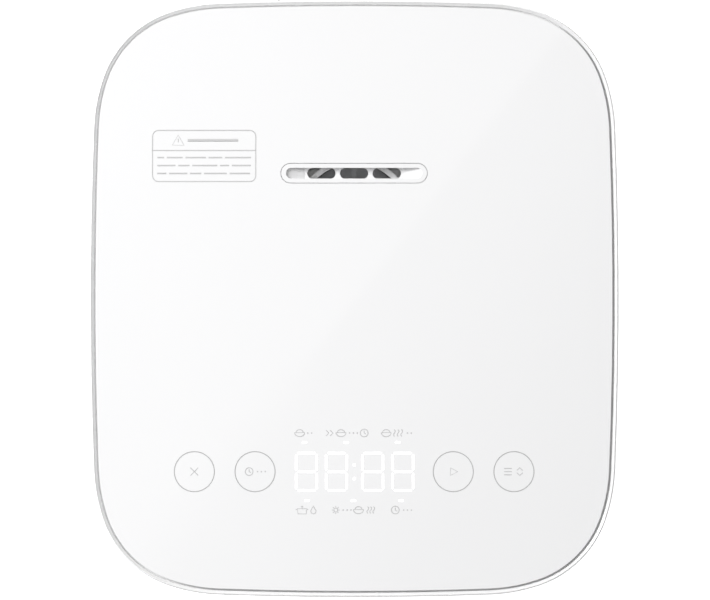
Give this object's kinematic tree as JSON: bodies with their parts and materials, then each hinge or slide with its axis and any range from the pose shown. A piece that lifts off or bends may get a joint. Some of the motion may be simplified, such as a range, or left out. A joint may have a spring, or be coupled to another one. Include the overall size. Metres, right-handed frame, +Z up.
{
  "type": "rice cooker",
  "caption": "Counter-top rice cooker: rounded square body, hinged lid with flat touch panel and steam vent, lift-out pot, front release button, rear power inlet",
  "frame": {"origin": "on the resting plane under the axis of the pot", "axes": "+Z up, -Y the front with the release button, +Y the rear with the hinge and power inlet, +X the right side seen from the front"},
  "size_m": [0.2338, 0.269, 0.212],
  "materials": {
    "body_white": "moulded gloss",
    "panel_white": "polished",
    "grille_white": "satin",
    "liner_grey": "fine texture",
    "silicone": "translucent white",
    "bare_aluminium": "brushed",
    "pot_coating": "dark non-stick coating",
    "housing_steel": "aluminised",
    "spring_steel": "drawn wire",
    "screw_steel": "zinc plated",
    "heater_steel": "oxidised",
    "mica_band": "woven sleeve",
    "board_green": "solder mask",
    "module_white": "diffuser",
    "part_black": "moulded",
    "part_blue": "moulded",
    "ferrite": "sintered",
    "brass_blade": "nickelled",
    "wire_sleeve": "sleeved",
    "foot_rubber": "matt",
    "button_grey": "satin",
    "base_white": "fine texture",
    "ribbon_white": "flexible"
  },
  "bodies": {
    "body": {"base": "base_white", "base_screws": "screw_steel", "button_spring": "spring_steel", "capacitors": "part_blue", "feet": "foot_rubber", "fuse_clip": "housing_steel", "heater_wires": "wire_sleeve", "heating_element": "heater_steel", "heating_plate": "bare_aluminium", "hinge_block": "body_white", "hinge_pin": "spring_steel", "inlet_blades": "brass_blade", "inlet_screws": "screw_steel", "inner_shell": "housing_steel", "latch_bracket": "housing_steel", "latch_pin": "spring_steel", "latch_spring": "spring_steel", "mains_wires": "wire_sleeve", "outer_shell": "body_white", "plate_spacers": "screw_steel", "power_board": "board_green", "power_board_screws": "screw_steel", "power_inlet": "part_black", "relay": "part_black", "ring_screws": "screw_steel", "sensor_housing": "housing_steel", "sensor_spring": "spring_steel", "terminal_block": "part_black", "thermal_fuse": "heater_steel", "top_ring": "body_white", "transformer": "ferrite", "warmer_band": "mica_band"},
    "lid": {"lid_frame": "body_white", "top_panel": "panel_white", "vent_grille": "grille_white", "steam_valve_cup": "grille_white", "steam_valve_cap": "liner_grey", "steam_valve_seal": "silicone", "lid_liner": "liner_grey", "inner_lid": "bare_aluminium", "inner_lid_gasket": "silicone", "catch_spring": "spring_steel", "catch_stop": "liner_grey", "lid_sensor": "bare_aluminium", "display_board": "board_green", "board_screws_lid": "screw_steel", "display_module": "module_white", "indicator_guides": "module_white", "touch_springs": "spring_steel", "ribbon_cable": "ribbon_white", "hinge_knuckle": "body_white", "lid_spring": "spring_steel", "lid_catch": "liner_grey", "lid_screws": "screw_steel"},
    "pot": {"inner_pot": "pot_coating"},
    "button": {"release_button": "button_grey"},
    "latch": {"latch": "part_black"},
    "sensor": {"sensor_cap": "bare_aluminium"},
    "catch": {"inner_lid_catch": "liner_grey"}
  },
  "joints": [
    {"name": "lid_open", "type": "hinge", "parent": "body", "child": "lid", "pos_m": [0, 0.129, 0.171], "axis": [-1, 0, 0], "range_deg": [0, 88]},
    {"name": "pot_turn", "type": "hinge", "parent": "body", "child": "pot", "pos_m": [0, 0, 0.1], "axis": [0, 0, 1], "continuous": true},
    {"name": "button_press", "type": "slide", "parent": "body", "child": "button", "axis": [0, 1, 0], "range_m": [0, 0.0025], "stiffness_N_per_m": 800, "springref_m": -0.002, "deforming": ["button_spring"]},
    {"name": "latch_turn", "type": "hinge", "parent": "body", "child": "latch", "pos_m": [0, -0.1125, 0.128], "axis": [-1, 0, 0], "range_deg": [0, 12]},
    {"name": "sensor_press", "type": "slide", "parent": "body", "child": "sensor", "axis": [0, 0, -1], "range_m": [0, 0.002], "stiffness_N_per_m": 1200, "springref_m": -0.002, "deforming": ["sensor_spring"]},
    {"name": "inner_lid_release", "type": "slide", "parent": "lid", "child": "catch", "axis": [0, -1, 0], "range_m": [0, 0.0025], "stiffness_N_per_m": 500, "springref_m": -0.002, "deforming": ["catch_spring"]}
  ],
  "couplings": [
    {"joint": "latch_turn", "follows": "button_press", "rad_per_m": 83.333}
  ]
}
